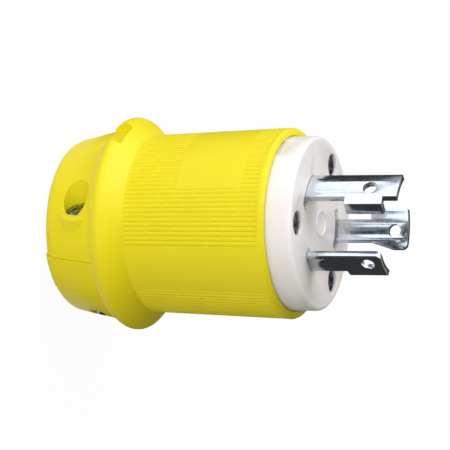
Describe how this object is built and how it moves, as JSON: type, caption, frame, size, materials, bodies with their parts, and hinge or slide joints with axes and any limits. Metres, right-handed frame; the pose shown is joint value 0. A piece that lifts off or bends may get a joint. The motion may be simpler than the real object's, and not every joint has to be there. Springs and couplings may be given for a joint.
{
  "type": "locking power plug",
  "caption": "Round locking power plug: ribbed yellow grip with a flange and cord clamp, white front insulator, curved locking blades and a longer ground blade",
  "frame": {"origin": "Middle of the cord end, where the plug stands", "axes": "+Z along the plug's axis towards the blades; +Y towards the side that carries the cord clamp's screw heads; X across the two fixed arms"},
  "size_m": [0.0574, 0.057, 0.0952],
  "materials": {
    "yellow_nylon": "moulded nylon, satin",
    "white_nylon": "moulded nylon, slightly translucent",
    "nickel_plate": "nickel-plated brass strip",
    "plated_steel": "plated steel screws",
    "terminal_brass": "plain brass"
  },
  "bodies": {
    "plug": {"housing": "yellow_nylon", "blade_carrier": "white_nylon", "terminal_base": "white_nylon", "ground_blade": "nickel_plate", "line_blade_1": "nickel_plate", "line_blade_2": "nickel_plate", "ground_clamp_plate": "terminal_brass", "line_clamp_plate_1": "terminal_brass", "line_clamp_plate_2": "terminal_brass", "ground_terminal_screw": "plated_steel", "line_terminal_screw_1": "plated_steel", "line_terminal_screw_2": "plated_steel", "assembly_screw_1": "plated_steel", "assembly_screw_2": "plated_steel", "assembly_screw_3": "plated_steel", "threaded_insert_1": "terminal_brass", "threaded_insert_2": "terminal_brass", "threaded_insert_3": "terminal_brass"},
    "upper_jaw": {"upper_clamp_jaw": "yellow_nylon", "clamp_screw_1": "plated_steel", "clamp_screw_2": "plated_steel"},
    "lower_jaw": {"lower_clamp_jaw": "yellow_nylon", "clamp_nut_1": "plated_steel", "clamp_nut_2": "plated_steel"}
  },
  "joints": [
    {"name": "upper_jaw_slide", "type": "slide", "parent": "plug", "child": "upper_jaw", "axis": [0, 1, 0], "range_m": [0, 0.0025]},
    {"name": "lower_jaw_slide", "type": "slide", "parent": "plug", "child": "lower_jaw", "axis": [0, -1, 0], "range_m": [0, 0.0025]}
  ],
  "couplings": [
    {"joint": "lower_jaw_slide", "follows": "upper_jaw_slide", "ratio": 1}
  ]
}
